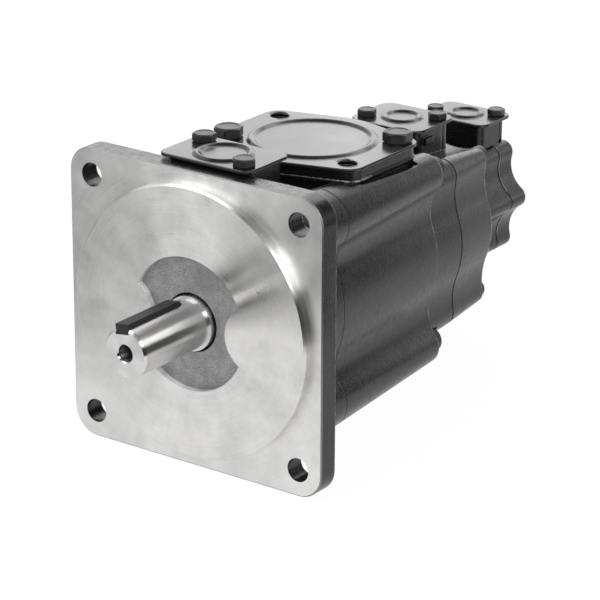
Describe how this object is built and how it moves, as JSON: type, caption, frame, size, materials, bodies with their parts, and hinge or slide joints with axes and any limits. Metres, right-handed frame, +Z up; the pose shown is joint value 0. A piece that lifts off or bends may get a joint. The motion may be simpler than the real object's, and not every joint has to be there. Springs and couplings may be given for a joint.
{
  "type": "hydraulic vane pump",
  "caption": "In-line hydraulic vane pump: square mounting flange with round pilot, keyed drive shaft, stacked lobed castings, and bolted covers over its suction and outlet ports.",
  "frame": {"origin": "where the shaft axis meets the front face of the mounting flange", "axes": "+Y back along the shaft axis, +Z up through the ports, +X right seen from the shaft end"},
  "size_m": [0.272, 0.5522, 0.2849],
  "materials": {
    "painted_casting": "satin black paint over cast iron; the mounting face and pilot are machined bare",
    "painted_cover": "semi-gloss black paint",
    "black_bolt": "blackened and painted bolts and screws",
    "ground_steel": "ground",
    "key_steel": "dark drawn steel",
    "seal_rubber": "moulded",
    "bearing_steel": "ground and polished",
    "bush_bronze": "bored bronze",
    "plate_iron": "lapped",
    "cam_steel": "ground",
    "rotor_steel": "ground",
    "vane_steel": "ground"
  },
  "bodies": {
    "pump_body": {"bearing_snap_ring": "bearing_steel", "centre_bush": "bush_bronze", "centre_ring": "painted_casting", "end_cap": "painted_casting", "end_cap_screws": "black_bolt", "front_bearing_outer_ring": "bearing_steel", "front_cam_ring": "cam_steel", "front_outlet_cover": "painted_cover", "front_outlet_cover_bolts": "black_bolt", "front_pressure_plate": "plate_iron", "front_side_plate": "plate_iron", "housing_bolts": "black_bolt", "inlet_cover": "painted_cover", "inlet_cover_bolts": "black_bolt", "inlet_housing": "painted_casting", "middle_cam_ring": "cam_steel", "middle_housing": "painted_casting", "middle_housing_bolts": "black_bolt", "middle_outlet_cover": "painted_cover", "middle_outlet_cover_bolts": "black_bolt", "middle_pressure_plate": "plate_iron", "middle_side_plate": "plate_iron", "mounting_cap": "painted_casting", "rear_bush": "bush_bronze", "rear_cam_ring": "cam_steel", "rear_housing": "painted_casting", "rear_outlet_cover": "painted_cover", "rear_outlet_cover_bolts": "black_bolt", "rear_pressure_plate": "plate_iron", "shaft_seal": "seal_rubber"},
    "shaft": {"shaft": "ground_steel", "shaft_key": "key_steel", "front_bearing_inner_ring": "bearing_steel", "front_rotor": "rotor_steel", "middle_rotor": "rotor_steel", "rear_rotor": "rotor_steel", "rear_vanes": "vane_steel"},
    "front_vane_01": {"front_vane_01": "vane_steel"},
    "front_vane_02": {"front_vane_02": "vane_steel"},
    "front_vane_03": {"front_vane_03": "vane_steel"},
    "front_vane_04": {"front_vane_04": "vane_steel"},
    "front_vane_05": {"front_vane_05": "vane_steel"},
    "front_vane_06": {"front_vane_06": "vane_steel"},
    "front_vane_07": {"front_vane_07": "vane_steel"},
    "front_vane_08": {"front_vane_08": "vane_steel"},
    "front_vane_09": {"front_vane_09": "vane_steel"},
    "front_vane_10": {"front_vane_10": "vane_steel"},
    "middle_vane_01": {"middle_vane_01": "vane_steel"},
    "middle_vane_02": {"middle_vane_02": "vane_steel"},
    "middle_vane_03": {"middle_vane_03": "vane_steel"},
    "middle_vane_04": {"middle_vane_04": "vane_steel"},
    "middle_vane_05": {"middle_vane_05": "vane_steel"},
    "middle_vane_06": {"middle_vane_06": "vane_steel"},
    "middle_vane_07": {"middle_vane_07": "vane_steel"},
    "middle_vane_08": {"middle_vane_08": "vane_steel"},
    "middle_vane_09": {"middle_vane_09": "vane_steel"},
    "middle_vane_10": {"middle_vane_10": "vane_steel"}
  },
  "joints": [
    {"name": "shaft_spin", "type": "hinge", "parent": "pump_body", "child": "shaft", "pos_m": [0, 0, 0], "axis": [0, 1, 0], "continuous": true},
    {"name": "front_vane_slide_01", "type": "slide", "parent": "shaft", "child": "front_vane_01", "axis": [-0.1564, 0, 0.9877], "range_m": [0, 0.00057]},
    {"name": "front_vane_slide_02", "type": "slide", "parent": "shaft", "child": "front_vane_02", "axis": [-0.7071, 0, 0.7071], "range_m": [0, 0.00273]},
    {"name": "front_vane_slide_03", "type": "slide", "parent": "shaft", "child": "front_vane_03", "axis": [-0.9877, 0, 0.1564], "range_m": [0, 0.00531]},
    {"name": "front_vane_slide_04", "type": "slide", "parent": "shaft", "child": "front_vane_04", "axis": [-0.891, 0, -0.454], "range_m": [0, 0.00426]},
    {"name": "front_vane_slide_05", "type": "slide", "parent": "shaft", "child": "front_vane_05", "axis": [-0.454, 0, -0.891], "range_m": [0, 0.00135]},
    {"name": "front_vane_slide_06", "type": "slide", "parent": "shaft", "child": "front_vane_06", "axis": [0.1564, 0, -0.9877], "range_m": [0, 0.00057]},
    {"name": "front_vane_slide_07", "type": "slide", "parent": "shaft", "child": "front_vane_07", "axis": [0.7071, 0, -0.7071], "range_m": [0, 0.00273]},
    {"name": "front_vane_slide_08", "type": "slide", "parent": "shaft", "child": "front_vane_08", "axis": [0.9877, 0, -0.1564], "range_m": [0, 0.00531]},
    {"name": "front_vane_slide_09", "type": "slide", "parent": "shaft", "child": "front_vane_09", "axis": [0.891, 0, 0.454], "range_m": [0, 0.00426]},
    {"name": "front_vane_slide_10", "type": "slide", "parent": "shaft", "child": "front_vane_10", "axis": [0.454, 0, 0.891], "range_m": [0, 0.00135]},
    {"name": "middle_vane_slide_01", "type": "slide", "parent": "shaft", "child": "middle_vane_01", "axis": [-0.1564, 0, 0.9877], "range_m": [0, 0.00055]},
    {"name": "middle_vane_slide_02", "type": "slide", "parent": "shaft", "child": "middle_vane_02", "axis": [-0.7071, 0, 0.7071], "range_m": [0, 0.00228]},
    {"name": "middle_vane_slide_03", "type": "slide", "parent": "shaft", "child": "middle_vane_03", "axis": [-0.9877, 0, 0.1564], "range_m": [0, 0.00434]},
    {"name": "middle_vane_slide_04", "type": "slide", "parent": "shaft", "child": "middle_vane_04", "axis": [-0.891, 0, -0.454], "range_m": [0, 0.00351]},
    {"name": "middle_vane_slide_05", "type": "slide", "parent": "shaft", "child": "middle_vane_05", "axis": [-0.454, 0, -0.891], "range_m": [0, 0.00117]},
    {"name": "middle_vane_slide_06", "type": "slide", "parent": "shaft", "child": "middle_vane_06", "axis": [0.1564, 0, -0.9877], "range_m": [0, 0.00055]},
    {"name": "middle_vane_slide_07", "type": "slide", "parent": "shaft", "child": "middle_vane_07", "axis": [0.7071, 0, -0.7071], "range_m": [0, 0.00228]},
    {"name": "middle_vane_slide_08", "type": "slide", "parent": "shaft", "child": "middle_vane_08", "axis": [0.9877, 0, -0.1564], "range_m": [0, 0.00434]},
    {"name": "middle_vane_slide_09", "type": "slide", "parent": "shaft", "child": "middle_vane_09", "axis": [0.891, 0, 0.454], "range_m": [0, 0.00351]},
    {"name": "middle_vane_slide_10", "type": "slide", "parent": "shaft", "child": "middle_vane_10", "axis": [0.454, 0, 0.891], "range_m": [0, 0.00117]}
  ]
}
